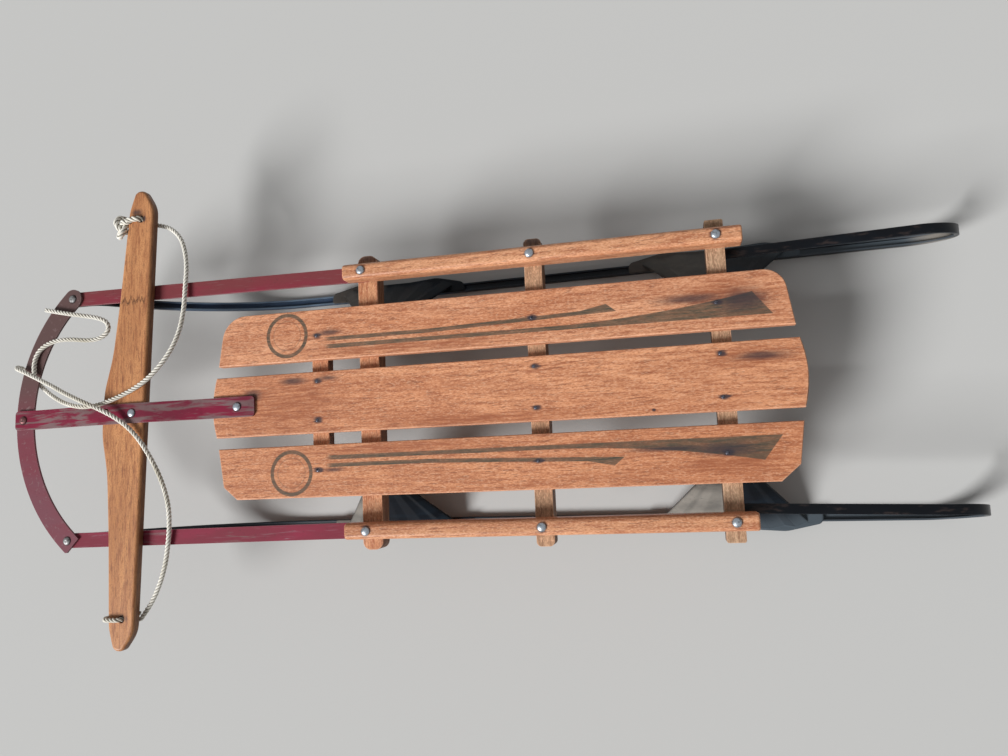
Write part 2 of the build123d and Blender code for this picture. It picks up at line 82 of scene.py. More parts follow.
class Graph:
    """A node tree, whose base colour is built up coat by coat."""

    def __init__(self, name: str, base: Colour, kind: str = "materials") -> None:
        """Start a material or a world.

        Args:
            name: its name.
            base: its first colour.
            kind: materials or worlds.
        """
        self.owner = getattr(bpy.data, kind).new(name)
        self.owner.use_nodes = True
        self.tree = self.owner.node_tree
        self.base: Source = base
        self.place = self.add("TexCoord")["Object"]

    def add(self, kind: str, settings: dict | None = None, **sources: Source) -> Outputs:
        """Add one node.

        Args:
            kind: its Blender type, after ShaderNode.
            settings: its own properties.
            sources: what its inputs are fed.

        Returns:
            Its outputs.
        """
        node = self.tree.nodes.new(f"ShaderNode{kind}")
        for key, value in (settings or {}).items():
            setattr(node, key, value)
        self.feed(node, sources)
        return node.outputs

    def feed(self, node: bpy.types.Node, sources: dict[str, Source]) -> None:
        """Link sockets to a node's inputs, or set their values.

        Args:
            node: the node.
            sources: a source for each input, by its name with _ for a space, or in0, in1 by its place.
        """
        for key, value in sources.items():
            slot = node.inputs[int(key[2:]) if key[2:].isdigit() else key.replace("_", " ")]
            if isinstance(value, Socket):
                self.tree.links.new(value, slot)
            else:
                slot.default_value = (*value, 1.0) if slot.type == "RGBA" else value

    def calc(self, operation: str, *values: Source) -> Socket:
        """One Math node."""
        return self.add("Math", {"operation": operation}, **{f"in{i}": value for i, value in enumerate(values)})[0]

    def times(self, a: Source, b: Source) -> Socket:
        """The product of two values."""
        return self.calc("MULTIPLY", a, b)

    def minus(self, a: Source, b: Source) -> Socket:
        """The difference of two values."""
        return self.calc("SUBTRACT", a, b)

    def vector(self, operation: str, a: Source, b: Source = ORIGIN) -> Outputs:
        """The outputs of one Vector Math node."""
        return self.add("VectorMath", {"operation": operation}, in0=a, in1=b)

    def stretched(self, scale: Point, offset: Point = ORIGIN, place: Socket | None = None) -> Socket:
        """Object coordinates, or another place, scaled and moved."""
        return self.add("Mapping", Vector=place or self.place, Location=offset, Scale=scale)[0]

    def noise(self, scale: Point, *texture: float, offset: Point = ORIGIN, place: Socket | None = None) -> Socket:
        """A noise of the given scale, with its detail, its roughness and, if it has any, its distortion."""
        settings = dict(zip(("Detail", "Roughness", "Distortion"), texture))
        return self.add("TexNoise", Vector=self.stretched(scale, offset, place), Scale=1.0, **settings)[0]

    def rise(self, value: Source, low: float, high: float, bottom: float = 0.0, top: float = 1.0) -> Socket:
        """A smooth step of a value from bottom at low to top at high."""
        ends = {"From_Min": low, "From_Max": high, "To_Min": bottom, "To_Max": top}
        return self.add("MapRange", {"interpolation_type": "SMOOTHSTEP"}, Value=value, **ends)[0]

    def mix(self, share: Source, a: Source, b: Source) -> Socket:
        """A mix of two colours by a share."""
        return self.add("Mix", {"data_type": "RGBA"}, Factor=share, in6=a, in7=b)[2]

    def coat(self, share: Source, tint: Source) -> None:
        """Lay a share of a colour over the base colour."""
        self.base = self.mix(share, self.base, tint)

    def axes(self) -> list[Socket]:
        """The object coordinates X, Y and Z."""
        return self.add("SeparateXYZ", Vector=self.place).values()

    def rounded(self, radius: float, samples: int = 4) -> Socket:
        """The surface's normal, rounded at its edges."""
        return self.add("Bevel", {"samples": samples}, Radius=radius)[0]

    def edges(self, radius: float) -> Socket:
        """How near a point is to a sharp edge, 1 on the edge."""
        flat = self.add("NewGeometry")["Normal"]
        return self.rise(self.vector("DOT_PRODUCT", self.rounded(radius), flat)["Value"], 0.995, 0.9)

    def spots(self, places: tuple[Oval, ...]) -> Socket:
        """Distance from the nearest of some oval spots.

        Args:
            places: x, y, half length and half width of each oval.

        Returns:
            The smallest scaled distance, 1 at an oval's rim.
        """
        nearest: Source = 10.0
        for x, y, half_length, half_width in places:
            moved = self.stretched((1 / half_length, 1 / half_width, 0.0), (-x / half_length, -y / half_width, 0.0))
            nearest = self.calc("MINIMUM", self.vector("LENGTH", moved)["Value"], nearest)
        return nearest

    def bump(self, height: Source, strength: float, distance: float, **after: Socket) -> Socket:
        """A bump's normal from a height."""
        return self.add("Bump", Height=height, Strength=strength, Distance=distance, **after)[0]

    def finish(self, roughness: Source, **sources: Source) -> Material:
        """Feed the shader the base colour, a roughness and other sources, and return the material."""
        self.feed(self.tree.nodes["Principled BSDF"], {"Base_Color": self.base, "Roughness": roughness, **sources})
        return self.owner


@dataclass(frozen=True)
class Print:
    """A ring and two stripes printed along a side board, mirrored for the other side."""

    sign: int
    ring: tuple[float, float]
    fade: float = 12.0 * MM
    ring_radius: float = 27.2 * MM
    ring_half: float = 2.4 * MM
    inner_ring_radius: float = 19.3 * MM
    inner_ring_half: float = 0.6 * MM
    inner_ring_share: float = 0.45
    start: float = 0.157
    inner_edge: float = 69.3 * MM
    inner_outer: float = 74.6 * MM
    wedge_from: float = -0.140
    wedge_growth: float = 0.39
    wedge_end: float = -0.402
    wedge_end_slope: float = 0.77
    outer_edge: float = 79.3 * MM
    outer_outer: float = 84.3 * MM
    spread_from: float = 0.015
    spread_slope: float = 0.032
    flare_from: float = -0.180
    flare_slope: float = 0.16
    outer_end: float = -0.212
    soft: float = 0.5 * MM

    def mask(self, g: Graph) -> Socket:
        """Where the ink lies.

        Args:
            g: the board's graph.

        Returns:
            A share from 0 to 1.
        """
        x, y, _ = g.axes()
        across = g.times(y, float(self.sign))
        dx, dy = g.minus(x, self.ring[0]), g.minus(across, self.ring[1])
        away = g.calc("SQRT", g.calc("ADD", g.times(dx, dx), g.times(dy, dy)))
        ring = self.near(g, away, self.ring_radius, self.ring_half)
        faint = g.times(self.near(g, away, self.inner_ring_radius, self.inner_ring_half), self.inner_ring_share)
        starts = (self.wedge_from, self.spread_from, self.flare_from)
        back, spread, flare = (g.calc("MAXIMUM", g.minus(start, x), 0.0) for start in starts)
        top = g.calc("MULTIPLY_ADD", g.times(back, back), self.wedge_growth, self.inner_outer)
        end = g.calc("MULTIPLY_ADD", g.minus(across, self.inner_edge), self.wedge_end_slope, self.wedge_end)
        inner = self.stripe(g, x, across, self.inner_edge, top, end)
        low = g.calc("MULTIPLY_ADD", spread, self.spread_slope, self.outer_edge)
        high = g.calc("MULTIPLY_ADD", spread, self.spread_slope, self.outer_outer)
        high = g.calc("MULTIPLY_ADD", flare, self.flare_slope, high)
        outer = self.stripe(g, x, across, low, high, g.calc("ADD", g.minus(across, high), self.outer_end))
        stripes = g.times(g.calc("MAXIMUM", inner, outer), g.rise(x, self.start, self.start - self.fade))
        return g.calc("MAXIMUM", g.calc("MAXIMUM", ring, faint), stripes)

    def over(self, g: Graph, value: Source) -> Socket:
        """1 where a length is above zero."""
        return g.rise(value, -self.soft, self.soft)

    def near(self, g: Graph, value: Source, middle: float, half: float) -> Socket:
        """1 where a length is within half of middle."""
        return g.rise(g.calc("ABSOLUTE", g.minus(value, middle)), half + self.soft, half - self.soft)

    def stripe(self, g: Graph, x: Socket, across: Socket, low: Source, high: Source, end: Source) -> Socket:
        """1 between two edges and ahead of an end."""
        band = g.times(self.over(g, g.minus(across, low)), self.over(g, g.minus(high, across)))
        return g.times(band, self.over(g, g.minus(x, end)))


@dataclass(frozen=True)
class OiledWood:
    """Old oiled hardwood with open pores, growth lines, light edges that are partly wear and partly a painted
    highlight, dark stains, and painted shade where given.
    """

    name: str
    grain: Grain = Grain.LENGTHWISE
    offset: Point = ORIGIN
    light: Colour = (0.80, 0.375, 0.195)
    middle: Colour = (0.66, 0.275, 0.135)
    dark: Colour = (0.33, 0.10, 0.042)
    pore: Colour = (0.15, 0.055, 0.03)
    edge: Colour = (0.97, 0.61, 0.41)
    edge_share: float = 0.5
    # stain: also the colour of the painted shade and painted contact shadows laid with the stains.
    stain: Colour = (0.028, 0.022, 0.030)
    ink: Colour = (0.050, 0.053, 0.038)
    grime_and_shade: Colour = (0.085, 0.032, 0.014)
    ring_count: float = 70.0
    roughness: float = 0.5
    # nails: ragged dark ovals in the stain colour, for nail stains, for painted contact shadows round the rails'
    # rivets, and for dirt and a painted rope shadow at the bar's holes.
    nails: tuple[Oval, ...] = ()
    smudges_and_shade: tuple[Oval, ...] = ()
    dimmed: tuple[Oval, ...] = ()
    scrape: Oval | None = None
    painted_side_shade_top: float | None = None
    printed: Print | None = None

    def along(self, lengthwise: float, across: float) -> Point:
        """A scale along the grain and across it, as a vector for this grain's axis."""
        return (lengthwise, across, across) if self.grain is Grain.LENGTHWISE else (across, lengthwise, across)

    def streaks(self, g: Graph, place: Socket, scales: tuple[float, float], *texture: float) -> Socket:
        """A noise with a scale along the grain and one across it."""
        return g.noise(self.along(*scales), *texture, offset=self.offset, place=place)

    def material(self) -> Material:
        """Build it, from the wood's own figure out to its stains, its painted shade and its edges, which are partly
        wear and partly a painted highlight.

        Returns:
            The material.
        """
        g = Graph(self.name, self.light)
        x, _, z = g.axes()
        push = g.add("TexNoise", Vector=g.stretched(self.along(6.0, 22.0), self.offset), Scale=1.0, Detail=2.0)["Color"]
        swing = g.vector("MULTIPLY", g.vector("SUBTRACT", push, (0.5, 0.5, 0.5))[0], self.along(0.0, 9.0 * MM))[0]
        figure = g.vector("ADD", g.place, swing)[0]
        growth = self.streaks(g, figure, (1.5, 17.0), 2.0, 0.45, 0.25)
        lines = g.calc("SINE", g.times(growth, self.ring_count))
        fibre = self.streaks(g, figure, (30.0, 340.0), 4.0, 0.66)
        pores = g.rise(self.streaks(g, figure, (70.0, 560.0), 2.0, 0.55), 0.57, 0.67)
        speck = self.streaks(g, g.place, (300.0, 900.0), 2.0, 0.6)
        g.coat(g.rise(self.streaks(g, g.place, (3.0, 13.0), 3.0, 0.55, 0.4), 0.3, 0.72), self.middle)
        g.coat(g.rise(lines, -0.9, 1.0, 0.0, 0.32), self.dark)
        g.coat(g.rise(fibre, 0.44, 0.68, 0.0, 0.76), self.dark)
        g.coat(g.times(pores, 0.5), self.pore)
        g.coat(g.rise(speck, 0.50, 0.68, 0.0, 0.60), self.dark)
        g.coat(g.rise(speck, 0.48, 0.32, 0.0, 0.36), self.edge)
        # Darker ovals where given, and darker towards the rear: a painted fall-off of the light.
        if self.dimmed:
            depth = g.times(g.rise(g.spots(self.dimmed), 1.1, 0.2, 0.0, 0.8), g.rise(fibre, 0.3, 0.62, 0.25, 1.0))
            g.coat(g.calc("MAXIMUM", depth, g.rise(x, -0.10, -0.34, 0.0, 0.15)), self.dark)
        if self.printed:
            g.coat(self.inked(g, fibre), self.ink)
        # Dark smudges, and painted shade where such ovals are laid at the bunks' right ends and beside the bar's hole.
        if self.smudges_and_shade:
            cloud = self.streaks(g, g.place, (14.0, 90.0), 3.0, 0.6)
            g.coat(g.rise(g.minus(g.spots(self.smudges_and_shade), g.times(cloud, 0.9)), 0.55, -0.35, 0.0, 0.78), self.stain)
        if self.nails:
            ragged = g.minus(g.spots(self.nails), g.rise(fibre, 0.4, 0.7, 0.0, 0.35))
            g.coat(g.rise(ragged, 1.0, 0.3, 0.0, 0.92), self.stain)
        if self.scrape:
            g.coat(self.scraped(g), self.grime_and_shade)
        # Painted shade on the sides, from just below the top face down, mottled by the fibre.
        if self.painted_side_shade_top is not None:
            low = g.rise(z, self.painted_side_shade_top - 0.5 * MM, self.painted_side_shade_top - 5.0 * MM, 0.0, 0.86)
            g.coat(g.times(low, g.rise(fibre, 0.3, 0.7, 0.8, 1.0)), self.grime_and_shade)
        # Edges in the edge colour: on the boards partly wear and partly a painted highlight, on the bar dark wear.
        g.coat(g.times(g.edges(1.8 * MM), g.rise(fibre, 0.3, 0.6, 0.7 * self.edge_share, self.edge_share)), self.edge)
        rough = g.rise(fibre, 0.3, 0.75, self.roughness - 0.07, self.roughness + 0.12)
        height = g.minus(g.times(fibre, 0.5), pores)
        normal = g.bump(height, 0.45, 0.15 * MM, Normal=g.rounded(0.8 * MM))
        return g.finish(rough, Normal=normal, Specular_IOR_Level=0.35)

    def scraped(self, g: Graph) -> Socket:
        """Draw a jagged dark scrape that runs along X.

        Args:
            g: the graph.

        Returns:
            Its share.
        """
        middle_x, middle_y, half_length, reach = self.scrape
        x, y, _ = g.axes()
        wander = g.noise((170.0, 0.0, 0.0), 3.0, 0.65, offset=self.offset)
        away = g.minus(y, g.calc("MULTIPLY_ADD", wander, reach, middle_y - reach / 2))
        line = g.rise(g.calc("ABSOLUTE", away), 4.2 * MM, 1.0 * MM, 0.0, 0.85)
        span = g.rise(g.calc("ABSOLUTE", g.minus(x, middle_x)), half_length, half_length * 0.8)
        patches = g.noise((420.0, 420.0, 0.0), 2.0, 0.6, offset=self.offset)
        return g.times(g.times(line, span), g.rise(patches, 0.36, 0.56, 0.35, 1.0))

    def inked(self, g: Graph, fibre: Socket) -> Socket:
        """The share of faded ink, thinner where the grain has worn it."""
        left = g.rise(self.streaks(g, g.place, (40.0, 260.0), 4.0, 0.7), 0.34, 0.58, 0.78, 0.98)
        return g.times(self.printed.mask(g), g.times(left, g.rise(fibre, 0.3, 0.7, 1.0, 0.75)))


@dataclass(frozen=True)
class WornPaint:
    """Dark red paint on strap steel, rubbed to grey-mauve streaks along its length."""

    name: str
    bare: float = 0.35
    paint: Colour = (0.185, 0.034, 0.046)
    fresh: Colour = (0.235, 0.026, 0.048)
    right_paint: Colour | None = None
    primer: Colour = (0.20, 0.105, 0.105)
    grey: Colour = (0.27, 0.185, 0.185)
    edge: Colour = (0.46, 0.30, 0.31)
    grit: Colour = (0.05, 0.02, 0.025)
    shadow_tint: Colour = (0.012, 0.008, 0.010)
    streak: Point = (16.0, 170.0, 170.0)
    scratch: Point = (30.0, 800.0, 800.0)
    rings: tuple[Oval, ...] = ()

    def material(self) -> Material:
        """Build it.

        Returns:
            The material.
        """
        g = Graph(self.name, self.paint)
        tint = g.noise((9.0, 30.0, 30.0), 3.0, 0.5, offset=(3.0, 1.0, 0.0))
        g.coat(g.rise(tint, 0.42, 0.68), self.fresh)
        if self.right_paint:
            g.coat(g.rise(g.axes()[1], 0.03, -0.07), self.right_paint)
        limit = 0.66 - 0.3 * self.bare
        worn = g.rise(g.noise(self.streak, 4.0, 0.6, 0.4), limit, limit + 0.12)
        g.coat(g.times(worn, 0.85), g.mix(g.rise(tint, 0.35, 0.6), self.primer, self.grey))
        g.coat(g.rise(g.noise(self.scratch, 2.0, 0.5), 0.62, 0.72, 0.0, 0.35), self.grey)
        speck = g.noise((300.0, 420.0, 420.0), 3.0, 0.6)
        g.coat(g.rise(speck, 0.6, 0.75, 0.0, 0.5), self.grit)
        g.coat(g.times(g.edges(0.9 * MM), g.rise(tint, 0.3, 0.6, 0.3, 0.75)), self.edge)
        # Painted contact shadows: dark rings round the bolts' heads.
        if self.rings:
            g.coat(g.rise(g.spots(self.rings), 1.0, 0.66, 0.0, 0.9), self.shadow_tint)
        height = g.minus(g.times(speck, 0.3), worn)
        normal = g.bump(height, 0.25, 0.06 * MM, Normal=g.rounded(0.5 * MM))
        return g.finish(g.rise(worn, 0.0, 1.0, 0.45, 0.65), Normal=normal, Specular_IOR_Level=0.22)


@dataclass(frozen=True)
class RunnerSteel:
    """Blue-black enamel on pressed steel, with scratches, rust up high, a painted sheen low down and painted highlights
    on the lips, and where given a painted lit patch and a painted blue sky reflection along a stretch.
    """

    name: str
    rust_from: float | None = None
    painted_light_from: float | None = None
    blue: tuple[float, float] | None = None
    dusty_behind: float | None = None
    gloss: float = 0.16
    soft_edge: float = 0.6 * MM
    # Colours of the painted sheen low down and of the painted highlights on the lips' tops.
    ground: Colour = (0.080, 0.100, 0.118)
    rim: Colour = (0.060, 0.072, 0.085)
    blue_lip_highlight: Colour = (0.150, 0.215, 0.290)
    bare_edge: Colour = (0.09, 0.10, 0.11)
    enamel: Colour = (0.002, 0.003, 0.006)
    worn: Colour = (0.007, 0.014, 0.022)
    # sky: the colour of the painted sky reflection.
    sky: Colour = (0.045, 0.085, 0.160)
    painted_light: Colour = (0.235, 0.215, 0.190)
    rust: Colour = (0.003, 0.004, 0.006)
    rust_light: Colour = (0.040, 0.029, 0.027)

    def material(self) -> Material:
        """Build it.

        Returns:
            The material.
        """
        g = Graph(self.name, self.enamel)
        x, _, z = g.axes()
        cloud = g.noise((14.0, 30.0, 30.0), 4.0, 0.6, 0.3)
        fine = g.noise((160.0, 600.0, 600.0), 3.0, 0.6)
        g.coat(g.rise(cloud, 0.42, 0.75), self.worn)
        # Colour and reach of the painted highlight on the lips' tops.
        rim: Source = self.rim
        rear = g.rise(x, -0.20, -0.34, 0.15, 1.0)
        # Painted reflection of a blue sky along a stretch of the right runner, mottled by the cloud.
        if self.blue:
            low, high = self.blue
            stretch = g.times(g.rise(x, low, low + 0.05), g.rise(x, high, high - 0.05))
            g.coat(g.times(stretch, g.rise(cloud, 0.3, 0.6, 0.35, 0.9)), self.sky)
            rim = g.mix(stretch, self.rim, self.blue_lip_highlight)
            rear = g.calc("MAXIMUM", rear, stretch)
        # Painted sheen: low surfaces that face up are lightened blue-grey, more towards the rear, in place of the sky's
        # reflection.
        facing_up = g.add("SeparateXYZ", Vector=g.add("TexCoord")["Normal"])["Z"]
        sheen = g.times(g.rise(z, 40.0 * MM, 10.0 * MM), g.rise(facing_up, 0.3, 0.9, 0.06, 0.95))
        g.coat(g.times(sheen, g.rise(x, -0.20, -0.34, 0.1, 1.0)), self.ground)
        # Painted reflection of light on the low inside of the rear curl, behind a given x.
        if self.dusty_behind is not None:
            behind = g.times(g.rise(x, self.dusty_behind, self.dusty_behind - 0.03), g.rise(z, 0.07, 0.03))
            g.coat(g.times(behind, 0.8), self.painted_light)
        # Painted light: ahead of a given x the steel is lit pale, mottled by the cloud.
        if self.painted_light_from is not None:
            ahead = g.rise(x, self.painted_light_from - 0.004, self.painted_light_from + 0.006)
            g.coat(g.times(ahead, g.rise(cloud, 0.35, 0.65, 0.95, 0.6)), self.painted_light)
        g.coat(g.rise(fine, 0.62, 0.74, 0.0, 0.5), self.worn)
        if self.rust_from is not None:
            crust = g.mix(g.rise(g.noise((45.0, 160.0, 160.0), 4.0, 0.65), 0.52, 0.7), self.rust, self.rust_light)
            g.coat(g.times(g.rise(z, self.rust_from - 0.02, self.rust_from + 0.01), 0.85), crust)
        g.coat(g.times(g.edges(0.8 * MM), 0.5), self.bare_edge)
        # Painted highlight along the tops of the lips, mostly at the rear, bluer on the right runner's blue stretch.
        lip = g.add("Attribute", {"attribute_name": "lip"})["Fac"]
        share = g.times(g.rise(lip, 8.2 * MM, 8.9 * MM), g.rise(cloud, 0.3, 0.6, 0.5, 1.0))
        g.coat(g.times(share, rear), rim)
        normal = g.bump(fine, 0.15, 0.05 * MM, Normal=g.rounded(self.soft_edge, 6))
        return g.finish(g.rise(cloud, 0.35, 0.7, 0.28, 0.45), Normal=normal, Specular_IOR_Level=self.gloss)


@dataclass(frozen=True)
class PlatedSteel:
    """Plated rivet and bolt steel, dulled by handling."""

    name: str
    bright: Colour = (0.40, 0.44, 0.49)
    dull: Colour = (0.16, 0.17, 0.18)
    roughness: float = 0.34

    def material(self) -> Material:
        """Build it.

        Returns:
            The material.
        """
        g = Graph(self.name, self.bright)
        cloud = g.noise((260.0, 260.0, 260.0), 4.0, 0.6)
        g.coat(g.rise(cloud, 0.45, 0.7), self.dull)
        pits = g.noise((1400.0, 1400.0, 1400.0), 2.0, 0.5)
        rough = g.rise(cloud, 0.4, 0.7, self.roughness, self.roughness + 0.2)
        return g.finish(rough, Normal=g.bump(pits, 0.15, 0.05 * MM), Metallic=0.9)


@dataclass(frozen=True)
class LaidCotton:
    """Off-white cotton rope, soiled in places, with painted shade between its strands."""

    name: str
    clean: Colour = (0.90, 0.87, 0.79)
    soiled: Colour = (0.60, 0.56, 0.46)
    crevice_shade: Colour = (0.29, 0.26, 0.20)

    def material(self) -> Material:
        """Build it.

        Returns:
            The material.
        """
        g = Graph(self.name, self.clean)
        g.coat(g.rise(g.noise((18.0, 18.0, 18.0), 3.0, 0.55), 0.42, 0.72), self.soiled)
        fibres = g.noise((700.0, 700.0, 700.0), 4.0, 0.7)
        g.coat(g.rise(fibres, 0.5, 0.75, 0.0, 0.3), self.soiled)
        # Painted shade between the strands, by how far out each point lies.
        out = g.add("Attribute", {"attribute_name": "out"})["Fac"]
        g.coat(g.rise(out, 0.90, 0.64, 0.0, 0.85), self.crevice_shade)
        return g.finish(0.9, Normal=g.bump(fibres, 0.6, 0.3 * MM), Sheen_Weight=0.15, Specular_IOR_Level=0.2)


def middle(node: str) -> tuple[float, float]:
    """The middle of a CAD node's box, seen from above."""
    low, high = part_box(node)
    return (low.x + high.x) / 2, (low.y + high.y) / 2


def dress(piece: Piece | str, material: Material) -> None:
    """Give a piece one material.

    Args:
        piece: the piece, or a CAD node's name.
        material: the material.
    """
    slots = (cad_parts[piece] if isinstance(piece, str) else piece).data.materials
    slots.clear()
    slots.append(material)


def placed(name: str, data: bpy.types.ID) -> Piece:
    """Put a mesh, lamp or camera into the scene.

    Args:
        name: the new object's name.
        data: what it shows.

    Returns:
        The object, at the origin.
    """
    thing = bpy.data.objects.new(name, data)
    bpy.context.scene.collection.objects.link(thing)
    return thing


def smooth_mesh(bm: bmesh.types.BMesh, name: str) -> bpy.types.Mesh:
    """Turn a bmesh into a mesh.

    Args:
        bm: the finished bmesh, which is freed.
        name: the mesh's name.

    Returns:
        The mesh, with its faces smooth and facing outwards.
    """
    bmesh.ops.recalc_face_normals(bm, faces=bm.faces[:])
    for face in bm.faces:
        face.smooth = True
    mesh = bpy.data.meshes.new(name)
    bm.to_mesh(mesh)
    bm.free()
    return mesh


def piece_from(mesh: bpy.types.Mesh, name: str, body: str | None) -> Piece:
    """Make a mesh a piece of the object.

    Args:
        mesh: the finished mesh.
        name: the piece's name.
        body: the body that it rides on, or None where it bends between two.

    Returns:
        The piece, at the origin.
    """
    piece = placed(name, mesh)
    if body:
        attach(piece, body)
    return piece


def turned(
    bm: bmesh.types.BMesh, profile: list[tuple[float, float]], x: float, y: float, steps: int = 28, closed: bool = False
) -> None:
    """Turn a profile about an upright axis.

    Args:
        bm: the bmesh that takes the shape.
        profile: radius and height of each point, from the axis at the bottom to the axis at the top, or a loop.
        x: the axis's place along X.
        y: the axis's place along Y.
        steps: segments of the turn.
        closed: whether the profile is a loop.
    """
    verts = [bm.verts.new((x + radius, y, height)) for radius, height in profile]
    edges = [bm.edges.new(pair) for pair in pairwise(verts + verts[:1] if closed else verts)]
    shape = {"geom": verts + edges, "cent": (x, y, 0), "axis": (0, 0, 1), "angle": 2 * math.pi}
    bmesh.ops.spin(bm, **shape, steps=steps, use_merge=True)
    if not closed:
        bmesh.ops.remove_doubles(bm, verts=bm.verts[:], dist=0.02 * MM)


@dataclass
class Rivets:
    """Rivets or bolts of one node: a shank, a domed head above and a flat head below."""

    node: str
    body: str
    places: tuple[tuple[float, float], ...]
    finish: PlatedSteel
    head_radius: float = 5.5 * MM
    rise: float = 3.5 * MM
    brim_share: float = 0.22
    shank_radius: float = 3.0 * MM
    foot_radius: float = 4.8 * MM
    dome_steps: int = 7
    dimple: float = 0.0

    def build(self) -> Piece:
        """Build the rivets over their node's own height.

        Returns:
            The rivets, as one piece.
        """
        low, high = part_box(self.node)
        foot_top, under_head = low.z + self.rise / 2, high.z - self.rise
        dome = []
        for step in range(self.dome_steps + 1):
            angle = step / self.dome_steps * math.pi / 2
            height = self.rise * (self.brim_share + (1 - self.brim_share) * math.sin(angle))
            dome.append((self.head_radius * math.cos(angle), under_head + height))
        if self.dimple:
            dome[-1] = (0.0, dome[-1][1] - self.dimple)
        foot = self.foot_radius
        profile = [(0.0, low.z), (foot * 0.86, low.z), (foot, low.z + self.rise * 0.15), (foot, foot_top)]
        profile += [(self.shank_radius, foot_top), (self.shank_radius, under_head), (self.head_radius, under_head)]
        bm = bmesh.new()
        for x, y in self.places:
            turned(bm, profile + dome, x, y)
        name = f"{self.node}_turned"
        piece = piece_from(smooth_mesh(bm, name), name, self.body)
        dress(piece, self.finish.material())
        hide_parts(self.node)
        return piece


